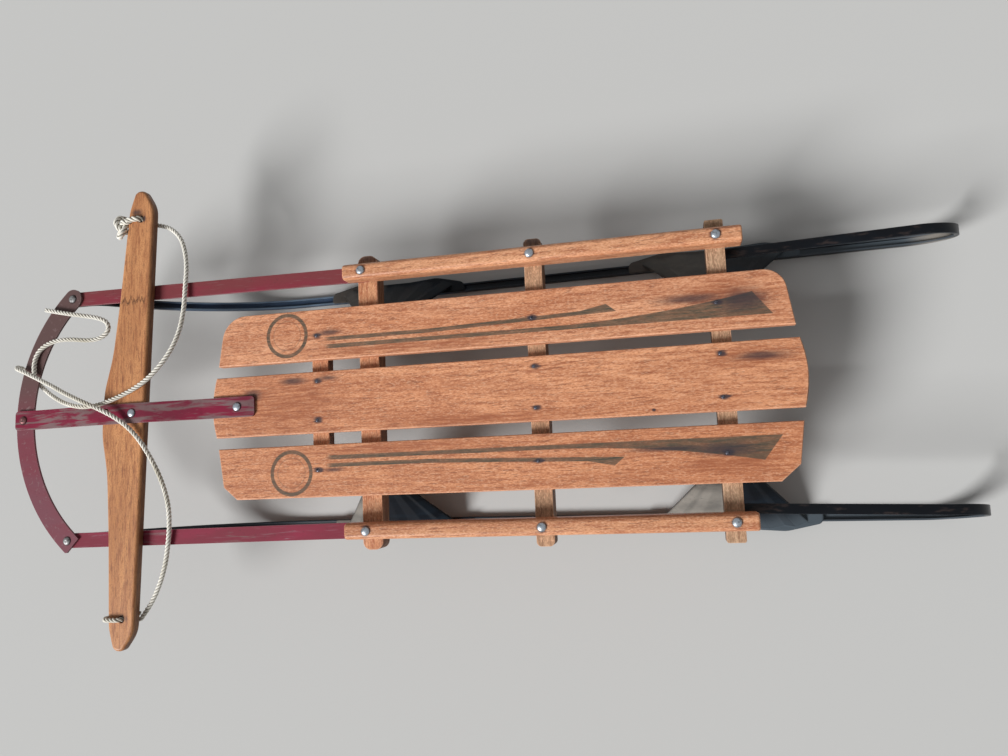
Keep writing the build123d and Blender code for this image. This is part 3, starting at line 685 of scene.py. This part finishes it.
@dataclass
class Deck:
    """Three boards with nails, on a cleat and three bunks, and the two side rails with their rivets."""

    nail_radius: float = 2.1 * MM
    nail_rise: float = 0.4 * MM
    nail_depth: float = 2 * MM
    nail_steps: int = 14
    nail_rows: tuple[float, ...] = (0.166, -0.1205, -0.340)
    side_nail_y: float = 0.0875
    middle_nail_ys: tuple[float, ...] = (-0.0275, 0.0235)
    ring_xs: dict[str, float] = field(default_factory=lambda: {"left": 0.2028, "right": 0.2073})
    ring_y: float = 0.090
    rail_y: float = 0.165
    rivet_ring: float = 7.6 * MM
    halo: float = 8.0 * MM
    halo_width: float = 4.6 * MM
    pale_wood: Colour = (0.80, 0.395, 0.22)
    red_wood: Colour = (0.68, 0.292, 0.142)

    def stains(self, ys: tuple[float, ...]) -> tuple[Oval, ...]:
        """An oval stain round each nail at the given distances across."""
        return tuple((x - 1.5 * MM, y, self.halo, self.halo_width) for x in self.nail_rows for y in ys)

    def build(self) -> list[Piece]:
        """Dress the boards, bunks and rails, and add the nails and the rivets.

        Returns:
            The nails and the rivets.
        """
        for side, sign in SIDES:
            wood = OiledWood(
                f"board_wood_{side}", offset=(1.7 * sign, 0.4 * sign, 0.0), edge_share=0.9,
                light=self.red_wood if sign > 0 else self.pale_wood,
                nails=self.stains((sign * self.side_nail_y,)), smudges_and_shade=self.side_smudges(sign),
                dimmed=((-0.345, sign * 0.100, 0.075, 0.022), (0.06, sign * 0.064, 0.20, 0.008)),
                printed=Print(sign, ring=(self.ring_xs[side], self.ring_y)),
            )
            dress(f"deck_board_{side}", wood.material())
        knot_hole = (-0.261, 0.034, 2.5 * MM, 2.0 * MM)
        wood = OiledWood(
            "board_wood_middle", offset=(5.3, 2.1, 0.0), edge_share=0.9,
            nails=(*self.stains(self.middle_nail_ys), knot_hole),
            dimmed=((0.215, 0.0, 0.115, 0.055), (-0.370, -0.020, 0.070, 0.018), (-0.05, 0.034, 0.22, 0.010)),
            smudges_and_shade=(
                (-0.385, -0.022, 0.050, 0.009), (0.150, -0.031, 0.024, 0.005),
                (0.200, -0.030, 0.028, 0.007), (0.258, -0.014, 0.020, 0.012),
            ),
        )
        dress("deck_board_middle", wood.material())
        red = OiledWood("bunk_wood", grain=Grain.CROSSWISE, light=(0.60, 0.31, 0.16), roughness=0.55)
        pale = replace(
            red, offset=(2.0, 3.0, 0.0), light=(0.52, 0.36, 0.23), middle=(0.42, 0.26, 0.155),
            dark=(0.26, 0.15, 0.085), roughness=0.6,
        )
        tan = replace(pale, light=(0.62, 0.385, 0.235), middle=(0.50, 0.29, 0.165))
        for node, wood in zip(("deck_cleat", *BUNKS), (red, red, tan, pale)):
            low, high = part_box(node)
            # Painted shade on the right ends of the front and middle bunks, beyond the rail.
            end = ((middle(node)[0], low.y, 0.030, 0.018),) if node in ("bunk_front", "bunk_middle") else ()
            dress(node, replace(wood, name=f"{node}_wood", painted_side_shade_top=high.z, smudges_and_shade=end).material())
        for side, sign in SIDES:
            # Painted contact shadows round the rivets' heads, laid as dark ovals in the stain colour.
            rings = tuple((middle(bunk)[0], sign * self.rail_y, self.rivet_ring, self.rivet_ring) for bunk in BUNKS)
            rail = OiledWood(
                f"rail_wood_{side}", offset=(7.0 * sign, 1.0, 4.0), light=(0.74, 0.37, 0.20),
                middle=(0.58, 0.26, 0.13), ring_count=40.0, roughness=0.38, nails=rings,
            )
            dress(f"rail_{side}", rail.material())
        return [self.nails(), *(self.rivets(side) for side, _ in SIDES)]

    def side_smudges(self, sign: int) -> tuple[Oval, ...]:
        """Dark stains on a side board, the larger one on the right board's rear end."""
        if sign > 0:
            return ((-0.338, 0.083, 0.055, 0.011), (-0.275, 0.080, 0.070, 0.005), (0.145, 0.088, 0.022, 0.005))
        return ((-0.368, -0.089, 0.044, 0.022), (-0.315, -0.094, 0.065, 0.009), (0.148, -0.091, 0.024, 0.006))

    def nails(self) -> Piece:
        """Build the flat nail heads, a little proud of the boards.

        Returns:
            The nail heads, as one piece.
        """
        radius, top = self.nail_radius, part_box("deck_board_middle")[1].z
        profile = [(0.0, top - self.nail_depth), (radius, top - self.nail_depth), (radius, top + self.nail_rise * 0.5)]
        profile += [(radius * 0.75, top + self.nail_rise), (0.0, top + self.nail_rise)]
        bm = bmesh.new()
        for x in self.nail_rows:
            for y in (-self.side_nail_y, *self.middle_nail_ys, self.side_nail_y):
                turned(bm, profile, x, y, self.nail_steps)
        piece = piece_from(smooth_mesh(bm, "deck_nails"), "deck_nails", "root")
        dress(piece, PlatedSteel("nail_steel", (0.13, 0.13, 0.16), (0.02, 0.02, 0.025), 0.24).material())
        return piece

    def rivets(self, side: str) -> Piece:
        """The three rivets of a rail, through rail and bunks."""
        places = tuple((middle(bunk)[0], middle(f"rail_rivets_{side}")[1]) for bunk in BUNKS)
        return Rivets(f"rail_rivets_{side}", "root", places, PlatedSteel(f"rivet_steel_{side}")).build()


@dataclass
class Runner:
    """A grooved runner: rear curl and return strap, ground length and rising nose, as one springy bar."""

    side: str
    sign: int
    width: float = 12.0 * MM
    base: float = 4.0 * MM
    lip: float = 2.5 * MM
    height: float = 9.0 * MM
    corner: float = 0.5 * MM
    nose_radius: float = 0.330
    nose_steps: int = 24
    lips_rise_in: int = 5
    tip_radius: float = 0.030
    tip_steps: int = 6
    tip_flat: float = 0.75
    tongue: float = 0.020
    curl_steps: int = 32
    press_from: int = 6
    press_steps: int = 20
    return_thick: float = 3.0 * MM
    return_inboard: float = 8.0 * MM
    return_reach: float = 0.010
    return_steps: int = 8
    line_y: float = 0.166
    splay: float = 8.0 * MM
    lean: float = 13.5 * MM
    bolt_y: float = 0.170
    eye_radius: float = 10.0 * MM
    eye_hole: float = 3.8 * MM
    eye_steps: int = 32
    bend_from: float = 0.060
    bend_to: float = 0.240
    ground_step: float = 0.030
    crisp_angle: float = 40
    rust_from: float = 0.104
    # Where the painted sky reflection lies along the right runner.
    blue: tuple[float, float] = (-0.02, 0.46)
    # Where the painted reflection inside the right runner's rear curl begins.
    dusty_behind: float = -0.585
    frames: list[tuple[Matrix, float]] = field(default_factory=list)

    def station(self, x: float, z: float, pitch: float, flat: float, away: float) -> None:
        """Add a place of the path: its section's turn about Y, how flat its lips are, and its way off the middle."""
        move = Matrix.Translation((x, self.sign * away, z))
        self.frames.append((move @ Matrix.Rotation(pitch, 4, "Y"), flat))

    def plan(self) -> None:
        """Lay out the path from the nose's eye back to the end of the return strap."""
        low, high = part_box(f"runner_{self.side}")
        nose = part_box(f"runner_nose_{self.side}")[1]
        self.bolt_x = nose.x - self.eye_radius
        tongue_x, tongue_z = self.bolt_x - self.tongue, nose.z - self.base
        both_radii = self.nose_radius + self.tip_radius
        angle = math.acos(1 - tongue_z / both_radii)
        start_x = tongue_x - both_radii * math.sin(angle)
        self.station(self.bolt_x, tongue_z, 0.0, 1.0, self.line_y)
        for step in range(self.tip_steps + 1):
            part = angle * step / self.tip_steps
            x, z = tongue_x - self.tip_radius * math.sin(part), tongue_z - self.tip_radius * (1 - math.cos(part))
            self.station(x, z, -part, 1.0 - (1 - self.tip_flat) * step / self.tip_steps, self.line_y)
        for step in range(1, self.nose_steps + 1):
            part = angle * (1 - step / self.nose_steps)
            x, z = start_x + self.nose_radius * math.sin(part), self.nose_radius * (1 - math.cos(part))
            flat = max(0.0, self.tip_flat - self.tip_flat * step / self.lips_rise_in)
            self.station(x, z, -part, flat, self.line_y)
        radius = high.z / 2
        curl_x, split_x = low.x + radius, middle("bunk_front")[0]
        count = round((start_x - curl_x) / self.ground_step)
        for step in range(1, count):
            x = start_x + (curl_x - start_x) * step / count
            self.station(x, 0.0, 0.0, 0.0, self.line_y + self.splay * max(0.0, (split_x - x) / (split_x - curl_x)))
        for step in range(self.curl_steps + 1):
            part = math.pi * step / self.curl_steps
            lift = (1 - math.cos(part)) / 2
            away = self.line_y + self.splay - self.lean * lift
            flat = min(1.0, max(0.0, (step - self.press_from) / self.press_steps))
            self.station(curl_x - radius * math.sin(part), 2 * radius * lift, part, flat, away)
        end_x = middle("bunk_rear")[0] + self.return_reach
        for step in range(1, self.return_steps + 1):
            share = step / self.return_steps
            away = self.line_y + self.splay - self.lean - self.return_inboard * share
            self.station(curl_x + (end_x - curl_x) * share, 2 * radius, math.pi, 1.0, away)

    def build(self) -> list[Piece]:
        """Build the runner as one mesh that bends ahead of the front bunk.

        Returns:
            The runner, alone in a list.
        """
        self.plan()
        bm = bmesh.new()
        half, groove = self.width / 2, self.width / 2 - self.lip
        outline = (
            (-half, 0.0), (half, 0.0), (half, self.height), (groove, self.height),
            (groove, self.base), (-groove, self.base), (-groove, self.height), (-half, self.height),
        )
        face = bm.faces.new([bm.verts.new((0.0, y, z)) for y, z in outline])
        round_off = {"affect": "VERTICES", "offset": self.corner, "segments": 2, "profile": 0.5, "material": -1}
        bmesh.ops.bevel(bm, geom=face.verts[:], **round_off)
        lip = bm.verts.layers.float.new("lip")
        for vert in bm.verts:
            vert[lip] = vert.co.z
        first, flat = self.frames[0]
        ring, edges = bm.verts[:], bm.edges[:]
        self.press(ring, lip, flat)
        bmesh.ops.transform(bm, matrix=first, verts=ring)
        for (before, _), (after, flat) in pairwise(self.frames):
            grown = bmesh.ops.extrude_edge_only(bm, edges=edges)["geom"]
            ring = [item for item in grown if isinstance(item, bmesh.types.BMVert)]
            fresh = set(ring)
            edges = [item for item in grown if isinstance(item, bmesh.types.BMEdge) and fresh.issuperset(item.verts)]
            bmesh.ops.transform(bm, matrix=before.inverted(), verts=ring)
            self.press(ring, lip, flat)
            bmesh.ops.transform(bm, matrix=after, verts=ring)
        bmesh.ops.contextual_create(bm, geom=edges)
        self.add_eye(bm)
        name = f"runner_{self.side}_whole"
        piece = piece_from(smooth_mesh(bm, name), name, None)
        steel = RunnerSteel(f"runner_enamel_{self.side}", rust_from=self.rust_from)
        # The right runner also gets the painted sky reflection and the painted light in its curl.
        if self.sign < 0:
            steel = replace(steel, blue=self.blue, dusty_behind=self.dusty_behind)
        dress(piece, steel.material())
        piece.data.shade_smooth()
        piece.data.set_sharp_from_angle(angle=math.radians(self.crisp_angle))
        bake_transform(piece)
        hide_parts(f"runner_{self.side}", f"runner_nose_{self.side}")
        return [piece]

    def press(self, ring: list[bmesh.types.BMVert], lip: bmesh.types.BMLayerItem, flat: float) -> None:
        """Set a section's heights, in its own frame, between the grooved bar and the thin flat strap.

        Args:
            ring: the section's vertices.
            lip: the layer that holds each vertex's full height.
            flat: how far the lips are pressed down, 0 to 1.
        """
        thick = self.base + (self.return_thick - self.base) * (flat if flat > self.tip_flat else 0.0)
        for vert in ring:
            full = vert[lip]
            vert.co.z = min(full, self.base) / self.base * thick + max(full - self.base, 0.0) * (1 - flat)

    def add_eye(self, bm: bmesh.types.BMesh) -> None:
        """Add the round eye at the nose's tip, bored for the bumper's bolt.

        Args:
            bm: the runner's bmesh.
        """
        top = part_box(f"runner_nose_{self.side}")[1].z
        low, outer, inner = top - self.base, self.eye_radius, self.eye_hole
        loop = [(inner, low), (outer, low), (outer, top), (inner, top)]
        turned(bm, loop, self.bolt_x, self.sign * self.bolt_y, self.eye_steps, closed=True)


@dataclass
class Struts:
    """The four pressed struts, dressed as they stand."""

    soft_edge: float = 4.0 * MM
    gloss: float = 0.10
    # Painted light on each strut ahead of its bunk, in a paler copy on the left and a darker one on the right.
    painted_light_ahead: dict[str, float] = field(default_factory=lambda: {"front": 20.0 * MM, "rear": 0.0})
    painted_light: dict[str, Colour] = field(
        default_factory=lambda: {"left": (0.235, 0.215, 0.190), "right": (0.130, 0.115, 0.100)}
    )

    def build(self) -> list[Piece]:
        """Dress the struts, each with painted light on the half ahead of its bunk, paler on the left than on the right.

        Returns:
            No new piece.
        """
        for place, ahead in self.painted_light_ahead.items():
            for side, painted_light in self.painted_light.items():
                steel = RunnerSteel(
                    f"strut_enamel_{place}_{side}", painted_light_from=middle(f"bunk_{place}")[0] + ahead,
                    painted_light=painted_light, gloss=self.gloss, soft_edge=self.soft_edge,
                )
                dress(f"strut_{place}_{side}", steel.material())
        return []


@dataclass
class SteeringGear:
    """Bar, centre strap, side straps, bumper and their bolts."""

    bolt_ring: float = 7.4 * MM
    bolt_rise: float = 3.0 * MM

    def rings(self, *bolts: str) -> tuple[Oval, ...]:
        """A painted contact shadow round each bolt's head."""
        return tuple((*middle(bolt), self.bolt_ring, self.bolt_ring) for bolt in bolts)

    def build(self) -> list[Piece]:
        """Dress the gear and turn its bolts.

        Returns:
            The bolts.
        """
        bar = OiledWood(
            "bar_wood", grain=Grain.CROSSWISE, offset=(0.0, 6.0, 1.0),
            light=(0.70, 0.340, 0.148), middle=(0.54, 0.237, 0.098), dark=(0.30, 0.105, 0.042),
            edge=(0.10, 0.04, 0.02), edge_share=0.75, ring_count=45.0, roughness=0.4,
            # Dark round the rope's holes: dirt, and beside the right hole also a painted shadow of the rope.
            nails=((0.424, -0.2715, 0.009, 0.006), (0.442, -0.2745, 0.012, 0.003), (0.4475, 0.272, 0.009, 0.006)),
            smudges_and_shade=((0.432, -0.282, 0.013, 0.007),),
            scrape=(0.436, -0.156, 0.021, 0.050), painted_side_shade_top=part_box("steering_bar")[1].z,
        )
        dress("steering_bar", bar.material())
        paints = {
            "centre_strap": WornPaint(
                "strap_paint", bare=0.60, paint=(0.155, 0.012, 0.032), fresh=(0.225, 0.008, 0.038),
                primer=(0.145, 0.085, 0.086), grey=(0.200, 0.140, 0.140), streak=(13.0, 105.0, 105.0),
                rings=self.rings("deck_bolt", "bar_bolt", "bow_bolt"),
            ),
            "bumper": WornPaint(
                "bumper_paint", bare=0.15, paint=(0.190, 0.062, 0.082), fresh=(0.200, 0.045, 0.064),
                streak=(50.0, 50.0, 170.0), scratch=(240.0, 240.0, 800.0), right_paint=(0.115, 0.065, 0.062),
                rings=self.rings("bumper_bolt_left", "bumper_bolt_right"),
            ),
            "side_strap_left": WornPaint(
                "side_paint_left", bare=0.30, paint=(0.200, 0.024, 0.044), fresh=(0.270, 0.022, 0.056),
                grey=(0.29, 0.145, 0.18),
            ),
            "side_strap_right": WornPaint("side_paint_right", bare=0.10, paint=(0.19, 0.04, 0.046)),
        }
        for node, paint in paints.items():
            dress(node, paint.material())
        bright = PlatedSteel("bolt_steel")
        grey = PlatedSteel("bumper_bolt_steel", (0.27, 0.27, 0.27), (0.07, 0.06, 0.06), 0.5)
        dark = PlatedSteel("painted_bolt", (0.20, 0.09, 0.09), (0.08, 0.05, 0.05), 0.5)
        bolts = []
        for node, body, finish, dimple in (
            ("deck_bolt", "root", bright, 0.0),
            ("bar_bolt", "tiller", bright, 0.0),
            ("bow_bolt", "tiller", dark, 1.2 * MM),
            ("bumper_bolt_left", "bumper_bow", grey, 0.8 * MM),
            ("bumper_bolt_right", "bumper_bow", grey, 0.8 * MM),
        ):
            bolts.append(Rivets(node, body, (middle(node),), finish, rise=self.bolt_rise, dimple=dimple).build())
        return bolts


@dataclass
class LaidRope:
    """Three strands laid round a centre line."""

    diameter: float = 6.5 * MM
    lay: float = 16.0 * MM
    step: float = 1.3 * MM
    strands: int = 3
    strand_share: float = 0.232

    def meshed(self, curve: bpy.types.Curve) -> bpy.types.Mesh:
        """Turn a curve into a mesh.

        Args:
            curve: the curve.

        Returns:
            Its mesh.
        """
        holder = bpy.data.objects.new(curve.name, curve)
        mesh = bpy.data.meshes.new_from_object(holder)
        bpy.data.objects.remove(holder)
        return mesh

    def centre_line(self, name: str, points: tuple[Point, ...]) -> list[Vector]:
        """The points of a smooth NURBS spline that a route's points control.

        Args:
            name: a name for the throwaway curve.
            points: the route in millimetres.

        Returns:
            Places along the spline, evenly spaced.
        """
        curve = bpy.data.curves.new(f"{name}_line", "CURVE")
        curve.dimensions = "3D"
        curve.resolution_u = 24
        spline = curve.splines.new("NURBS")
        spline.points.add(len(points) - 1)
        for target, point in zip(spline.points, points):
            target.co = (*(Vector(point) * MM), 1.0)
        spline.order_u = 3
        spline.use_endpoint_u = True
        mesh = self.meshed(curve)
        line = [vert.co.copy() for vert in mesh.vertices]
        bpy.data.meshes.remove(mesh)
        return self.evenly(line)

    def evenly(self, line: list[Vector]) -> list[Vector]:
        """Set a line's points at even steps.

        Args:
            line: points of the line, at any distances.

        Returns:
            The same line's points, about a step apart.
        """
        lengths = [0.0]
        for a, b in pairwise(line):
            lengths.append(lengths[-1] + (b - a).length)
        count = max(8, round(lengths[-1] / self.step))
        places, i = [], 0
        for k in range(count + 1):
            want = lengths[-1] * k / count
            while i < len(lengths) - 2 and lengths[i + 1] < want:
                i += 1
            run = max(lengths[i + 1] - lengths[i], 1e-9)
            places.append(line[i].lerp(line[i + 1], min(1.0, (want - lengths[i]) / run)))
        return places

    def heading(self, line: list[Vector], i: int) -> Vector:
        """From the point before to the point after."""
        return line[min(i + 1, len(line) - 1)] - line[max(i - 1, 0)]

    def build(self, name: str, line: list[Vector], body: str) -> Piece:
        """Lay the strands along a line.

        Args:
            name: the piece's name.
            line: evenly spaced points of the centre line.
            body: the body that it rides on.

        Returns:
            The rope as one mesh.
        """
        curve = bpy.data.curves.new(name, "CURVE")
        curve.dimensions = "3D"
        curve.bevel_depth = self.diameter * self.strand_share
        curve.bevel_resolution = 2
        curve.use_fill_caps = True
        out = self.diameter / 2 - self.diameter * self.strand_share
        splines = [curve.splines.new("POLY") for _ in range(self.strands)]
        for spline in splines:
            spline.points.add(len(line) - 1)
        tangent = (line[1] - line[0]).normalized()
        side = tangent.orthogonal().normalized()
        travelled = 0.0
        for i, place in enumerate(line):
            ahead = self.heading(line, i)
            turn = tangent.rotation_difference(ahead)
            tangent = ahead.normalized()
            side = (turn @ side).normalized()
            other = tangent.cross(side)
            if i:
                travelled += (place - line[i - 1]).length
            for k, spline in enumerate(splines):
                angle = 2 * math.pi * (travelled / self.lay + k / self.strands)
                centre = place + out * (side * math.cos(angle) + other * math.sin(angle))
                spline.points[i].co = (*centre, 1.0)
        mesh = self.meshed(curve)
        mesh.name = name
        mesh.shade_smooth()
        self.mark_depth(mesh, line)
        return piece_from(mesh, name, body)

    def mark_depth(self, mesh: bpy.types.Mesh, line: list[Vector]) -> None:
        """Store how far out each vertex lies from the centre line, 1 on the rope's outside.

        Args:
            mesh: the laid strands.
            line: evenly spaced points of the centre line.
        """
        tree = KDTree(len(line))
        for i, place in enumerate(line):
            tree.insert(place, i)
        tree.balance()
        out = mesh.attributes.new("out", "FLOAT", "POINT")
        for vert in mesh.vertices:
            _, i, _ = tree.find(vert.co)
            ahead, away = self.heading(line, i).normalized(), vert.co - line[i]
            out.data[vert.index].value = (away - away.dot(ahead) * ahead).length / (self.diameter / 2)


@dataclass
class TowRope:
    """The tow rope with its loose tail, and its knots at the bar's two holes."""

    length: float = 1.08
    tail_length: float = 0.27
    rope: LaidRope = field(default_factory=LaidRope)
    knot_rope: LaidRope = field(default_factory=lambda: LaidRope(diameter=8.0 * MM, lay=22.0 * MM))
    knot_points: int = 40
    knot_size: float = 3.9
    knot_stretch: float = 1.35
    knot_depth: float = 4.2
    knot_shift: float = 9.0
    hitch_lead: float = 26.0
    route: tuple[Point, ...] = (
        (452, -268, 135.5), (431, -271, 131.5), (410, -267, 132), (390, -260, 134), (373, -244, 136),
        (364, -222, 138.5), (360, -198, 141), (361, -172, 142.5), (362, -139, 144), (365, -111, 148),
        (373, -86, 152.5), (387, -64, 156), (407, -45, 156.8), (431, -31, 157.3), (458, -20, 158.8),
        (484, -13, 158.8), (512, -12, 156.8), (543, -19, 150), (576, -32, 137), (600, -47, 130.5), (615, -60, 128),
        (631, -75, 128), (637, -79, 137), (631, -75, 146), (616, -69, 147), (597, -60, 147.5), (568, -47, 151),
        (538, -33, 158), (505, -20, 166.5), (472, -6, 166.5), (449, 8, 160.5), (430, 25, 156.8), (414, 44, 156.2),
        (399, 67, 155.5), (388, 95, 150.5), (382, 125, 145.5), (382, 154, 143), (385, 180, 142), (390, 202, 139.5),
        (400, 228, 136), (415, 256, 133.5), (433, 277, 132.5),
    )
    tail_route: tuple[Point, ...] = (
        (600, -62, 146), (603, -76, 144.4), (600, -91, 144.3), (590, -103, 144.3), (570, -111, 144.6),
        (544, -112, 144), (518, -108, 142), (498, -109, 140.8), (484, -118, 140.5), (484, -131, 140.8),
        (498, -139, 142), (524, -144, 144.4), (555, -150, 145), (585, -157, 144.5),
    )

    def laid(self, rope: LaidRope, node: str, points: tuple[Point, ...]) -> tuple[Piece, list[Vector]]:
        """Lay a rope in the place of its CAD node.

        Args:
            rope: the kind of rope.
            node: the CAD node.
            points: the route in millimetres.

        Returns:
            The rope and the points of its centre line.
        """
        line = rope.centre_line(node, points)
        piece = rope.build(f"{node}_laid", line, "tiller")
        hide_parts(node)
        return piece, line

    def build(self) -> list[Piece]:
        """Lay the rope, its tail and both knots.

        Returns:
            The four pieces.
        """
        cotton = LaidCotton("rope_cotton").material()
        right, _ = self.laid(self.knot_rope, "knot_right", self.right_knot())
        left, _ = self.laid(self.rope, "knot_left", self.left_hitch())
        rope, line = self.laid(self.rope, "tow_rope", self.route)
        tail, tail_line = self.laid(self.rope, "rope_tail", self.tail_route)
        for piece in (rope, tail, right, left):
            dress(piece, cotton)
        return [rope, tail, right, left]

    def right_knot(self) -> tuple[Point, ...]:
        """Plan the strand out of the right hole and over the bar, in an overhand knot ahead of the bar's edge.

        Returns:
            The strand's route in millimetres.
        """
        low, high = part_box("knot_right")
        half = self.knot_rope.diameter / MM / 2
        x, y, top = low.x / MM + half, low.y / MM + half, high.z / MM - half
        middle_x = high.x / MM - half - 2.4 * self.knot_size
        middle_y, middle_z = y + self.knot_shift, top - self.knot_size
        points = [(x, y, top - 20), (x, y, top - 8), (x + 1, y, top), (x + 9, y, top), (x + 18, y + 1, top)]
        for k in range(2, self.knot_points - 3):
            turn = math.pi + 2 * math.pi * k / self.knot_points
            ahead = self.knot_size * (math.cos(turn) - 2 * math.cos(2 * turn))
            aside = self.knot_size * self.knot_stretch * (-math.sin(turn) - 2 * math.sin(2 * turn))
            points.append((middle_x + ahead, middle_y + aside, middle_z - self.knot_depth * math.sin(3 * turn)))
        return tuple(points)

    def left_hitch(self) -> tuple[Point, ...]:
        """Plan the loop from the left hole round the bar's front edge, tied under its rear edge.

        Returns:
            The loop's route in millimetres.
        """
        low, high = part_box("knot_left")
        half = self.rope.diameter / MM / 2
        y, top, bottom = high.y / MM - half, high.z / MM - half, low.z / MM + half
        front, rear = high.x / MM - half, low.x / MM + half
        hole = front - self.hitch_lead
        return (
            (hole, y, bottom + 8), (hole, y, top - 8), (hole + 1, y, top), (hole + 9, y, top),
            (front - 5, y, top), (front, y - 0.5, top - 5), (front, y - 0.5, bottom + 6), (front - 5, y - 1, bottom),
            (front - 20, y - 2, bottom), (rear + 12, y - 3, bottom), (rear + 3, y - 4, bottom + 2),
            (rear, y - 7, bottom + 5),
        )


@dataclass
class Studio:
    """Pale floor, soft light and the camera."""

    floor_size: float = 60.0
    floor_colour: Colour = (0.55, 0.55, 0.54)
    camera_place: Point = (-0.2796, 0.0913, 1.0497)
    camera_turn: Point = (6.04, 12.52, 177.57)
    lens: float = 27.11
    sensor: float = 36.0
    sky: float = 0.22
    backdrop: float = 0.55
    key_from: Point = (1.9, 1.7, 2.0)
    key_strength: float = 4.0
    key_spread: float = 25.0

    def build(self) -> None:
        """Build the stage, the lamps and the camera."""
        scene = bpy.context.scene
        scene.view_settings.view_transform = "Standard"
        bm = bmesh.new()
        bmesh.ops.create_grid(bm, x_segments=1, y_segments=1, size=self.floor_size / 2)
        floor = placed("floor", smooth_mesh(bm, "floor"))
        dress(floor, Graph("floor_pale", self.floor_colour).finish(0.8, Specular_IOR_Level=0.2))
        scene.world = self.surroundings()
        key = placed("key", bpy.data.lights.new("key", "SUN"))
        key.data.energy = self.key_strength
        key.data.angle = math.radians(self.key_spread)
        key.location = self.key_from
        key.rotation_euler = Vector(self.key_from).to_track_quat("Z", "Y").to_euler()
        camera = placed("camera", bpy.data.cameras.new("camera"))
        camera.data.lens = self.lens
        camera.data.sensor_width = self.sensor
        camera.location = self.camera_place
        camera.rotation_euler = [math.radians(turn) for turn in self.camera_turn]
        scene.camera = camera

    def surroundings(self) -> bpy.types.World:
        """Make a soft sky for the object, seen as a background as pale as the floor.

        Returns:
            The world.
        """
        g = Graph("studio", (1.0, 1.0, 1.0), "worlds")
        rays = g.add("LightPath")
        seen = rays["Is Camera Ray"]
        for kind in ("Is Glossy Ray", "Is Transmission Ray"):
            seen = g.calc("MAXIMUM", seen, rays[kind])
        strength = g.add("MapRange", Value=seen, To_Min=self.sky, To_Max=self.backdrop)["Result"]
        g.feed(g.tree.nodes["Background"], {"Color": g.base, "Strength": strength})
        return g.owner


def main() -> None:
    """Build the sled's looks in order and report each piece."""
    logging.basicConfig(level=logging.INFO, format="%(message)s")
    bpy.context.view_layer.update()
    for assembly in (Deck(), *(Runner(side, sign) for side, sign in SIDES), Struts(), SteeringGear(), TowRope()):
        for piece in assembly.build():
            log.info("%s: %d faces", piece.name, len(piece.data.polygons))
    Studio().build()


if __name__ == "__main__":
    main()
